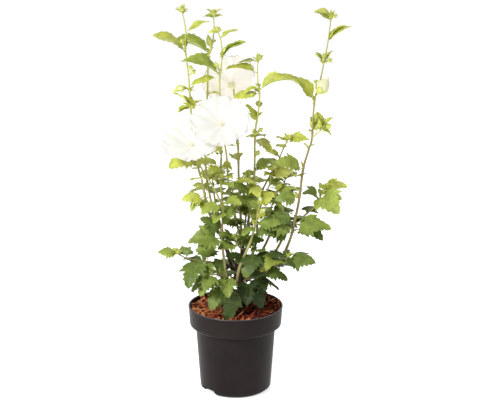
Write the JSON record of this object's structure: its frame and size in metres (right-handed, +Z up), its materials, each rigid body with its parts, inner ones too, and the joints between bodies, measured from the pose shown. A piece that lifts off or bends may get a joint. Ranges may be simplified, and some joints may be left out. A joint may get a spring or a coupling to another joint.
{
  "type": "rose of sharon shrub in a nursery pot",
  "caption": "Young rose of sharon with upright leafy stems, buds and open white flowers, growing in a round dark nursery pot filled with bark mulch.",
  "frame": {"origin": "middle of the pot's flat underside, where it stands on the ground", "axes": "+Z up along the stems, -Y towards the front with most open flowers, +X to the plant's right as seen from the front"},
  "size_m": [0.3885, 0.2409, 0.779],
  "materials": {
    "pot": "satin charcoal plastic, slightly worn",
    "soil": "loose shredded bark mulch, matt",
    "bark": "dark brown fissured bark",
    "stem": "smooth tan and green young wood",
    "leaf": "soft satin green leaves, yellower when young",
    "flower": "thin matt white petals"
  },
  "bodies": {
    "root": {"pot": "pot", "soil": "soil", "trunk": "bark", "bough_front_left": "stem", "bough_left": "stem", "bough_left_back": "stem", "bough_middle": "stem", "bough_back": "stem", "bough_inner_right": "stem", "bough_right": "stem", "bough_low_right": "stem", "bough_front": "stem", "bough_back_right": "stem", "bough_side_left": "stem", "bough_rear_left": "stem", "bough_rear_right": "stem", "foliage_front_left": "leaf", "foliage_left": "leaf", "foliage_left_back": "leaf", "foliage_inner_right": "leaf", "foliage_right": "leaf", "foliage_right_side": "leaf", "foliage_low_right": "leaf", "foliage_front": "leaf", "foliage_centre_right": "leaf", "foliage_mid_right": "leaf", "foliage_back_right": "leaf", "foliage_side_left": "leaf", "foliage_over_rim_left": "leaf", "foliage_over_rim_front": "leaf", "foliage_over_rim_right": "leaf", "foliage_heart": "leaf", "foliage_right_arm": "leaf", "foliage_centre": "leaf", "foliage_rear_left": "leaf", "foliage_rear_right": "leaf", "foliage_rear": "leaf", "foliage_over_rim_back": "leaf", "foliage_over_rim_back_right": "leaf", "flowering_twig_left": "flower", "flowering_twig_middle": "flower", "flowering_twig_back": "flower"}
  },
  "joints": []
}
